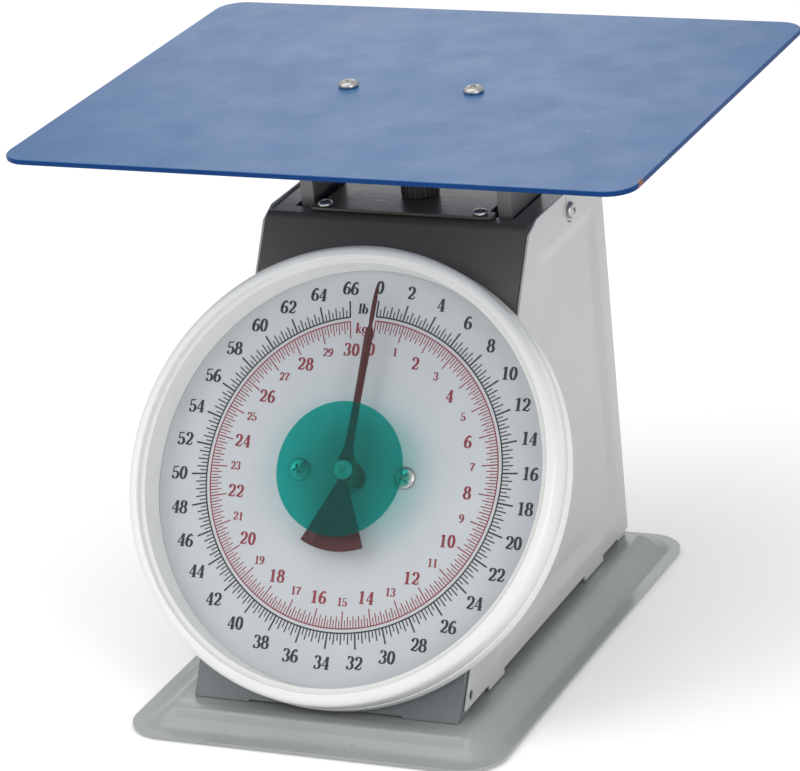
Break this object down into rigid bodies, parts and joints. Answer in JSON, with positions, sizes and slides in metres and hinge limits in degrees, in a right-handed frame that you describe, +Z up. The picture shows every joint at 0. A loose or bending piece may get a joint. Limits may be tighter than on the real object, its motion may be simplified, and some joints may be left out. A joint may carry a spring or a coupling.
{
  "type": "mechanical dial platform scale",
  "caption": "Spring weighing scale with a flat blue load plate on two legs, a wedge-shaped grey housing and a large round dial that leans back.",
  "frame": {"origin": "on the surface the scale stands on, under the middle of its overall box", "axes": "+Z up, -Y to the front, where the dial faces; +X to the viewer's right of the dial"},
  "size_m": [0.305, 0.302, 0.2571],
  "materials": {
    "blue_paint": "satin hammered blue enamel",
    "grey_paint": "light grey enamel",
    "dark_paint": "dark grey enamel",
    "white_plastic": "glossy white",
    "dial_print": "printed enamel",
    "clear_lens": "clear",
    "green_film": "translucent green",
    "red_enamel": "dark red enamel",
    "zinc_steel": "zinc plated",
    "brass": "turned",
    "black_plastic": "knurled",
    "rubber": "moulded"
  },
  "bodies": {
    "housing": {"base_plate": "grey_paint", "front_panel": "grey_paint", "back_panel": "grey_paint", "side_panel_left": "grey_paint", "side_panel_right": "grey_paint", "dial_pan": "grey_paint", "top_cap": "dark_paint", "cover_plate": "dark_paint", "bezel_ring": "white_plastic", "dial_face": "dial_print", "dial_lens": "clear_lens", "lens_disc": "green_film", "dial_spacer_left": "brass", "dial_spacer_right": "brass", "front_bushing": "brass", "rear_bushing": "brass", "rubber_foot_front_left": "rubber", "rubber_foot_front_right": "rubber", "rubber_foot_back_left": "rubber", "rubber_foot_back_right": "rubber", "overload_buffer": "rubber", "side_screw_left": "zinc_steel", "side_screw_right": "zinc_steel", "cover_screw_front_left": "zinc_steel", "cover_screw_front_right": "zinc_steel", "cover_screw_back_left": "zinc_steel", "cover_screw_back_right": "zinc_steel", "dial_screw_left": "zinc_steel", "dial_screw_right": "zinc_steel", "movement_bracket": "zinc_steel", "movement_rear_plate": "zinc_steel", "rack_guide": "zinc_steel", "frame_upright_left": "zinc_steel", "frame_upright_right": "zinc_steel", "top_beam": "zinc_steel", "upper_pivot_rod": "zinc_steel", "lower_pivot_rod": "zinc_steel"},
    "carriage": {"weighing_plate": "blue_paint", "plate_screw_left": "zinc_steel", "plate_screw_right": "zinc_steel", "platform_carrier": "dark_paint", "spring_anchor_bar": "zinc_steel", "drive_arm": "zinc_steel", "drive_pin": "zinc_steel", "upper_carrier_rod": "zinc_steel", "lower_carrier_rod": "zinc_steel"},
    "pointer_assembly": {"pointer": "red_enamel", "pointer_hub": "brass", "pointer_nut": "zinc_steel", "pointer_shaft": "zinc_steel", "pinion": "brass"},
    "rack_body": {"rack": "brass"},
    "upper_link_body": {"upper_link": "zinc_steel"},
    "lower_link_body": {"lower_link": "zinc_steel"},
    "yoke": {"spring_yoke": "zinc_steel", "zero_screw": "zinc_steel", "spring_left": "zinc_steel", "spring_right": "zinc_steel"},
    "knob": {"zero_knob": "black_plastic"}
  },
  "joints": [
    {"name": "plate_slide", "type": "slide", "parent": "housing", "child": "carriage", "axis": [0, 0, -1], "range_m": [0, 0.02553], "stiffness_N_per_m": 11500, "springref_m": -0.0019, "deforming": ["spring_left", "spring_right"]},
    {"name": "pointer_turn", "type": "hinge", "parent": "housing", "child": "pointer_assembly", "pos_m": [0, -0.07139, 0.10392], "axis": [0, 0.8387, -0.5446], "range_deg": [0, 350.6]},
    {"name": "rack_slide", "type": "slide", "parent": "housing", "child": "rack_body", "axis": [0, -0.5446, -0.8387], "range_m": [0, 0.02143]},
    {"name": "upper_link_turn", "type": "hinge", "parent": "housing", "child": "upper_link_body", "pos_m": [0, 0.078, 0.15124], "axis": [1, 0, 0], "range_deg": [0, 39.6]},
    {"name": "lower_link_turn", "type": "hinge", "parent": "housing", "child": "lower_link_body", "pos_m": [0, 0.078, 0.07124], "axis": [1, 0, 0], "range_deg": [0, 39.6]},
    {"name": "yoke_slide", "type": "slide", "parent": "housing", "child": "yoke", "axis": [0, 0, 1], "range_m": [0, 0.001]},
    {"name": "knob_turn", "type": "hinge", "parent": "housing", "child": "knob", "pos_m": [0, 0.03, 0.2033], "axis": [0, 0, 1], "range_deg": [0, 361]}
  ],
  "couplings": [
    {"joint": "pointer_turn", "follows": "plate_slide", "rad_per_m": 239.62},
    {"joint": "rack_slide", "follows": "plate_slide", "ratio": 0.83867},
    {"joint": "upper_link_turn", "follows": "plate_slide", "rad_per_m": 27.041},
    {"joint": "lower_link_turn", "follows": "plate_slide", "rad_per_m": 27.041},
    {"joint": "knob_turn", "follows": "yoke_slide", "rad_per_m": 6283.2}
  ]
}
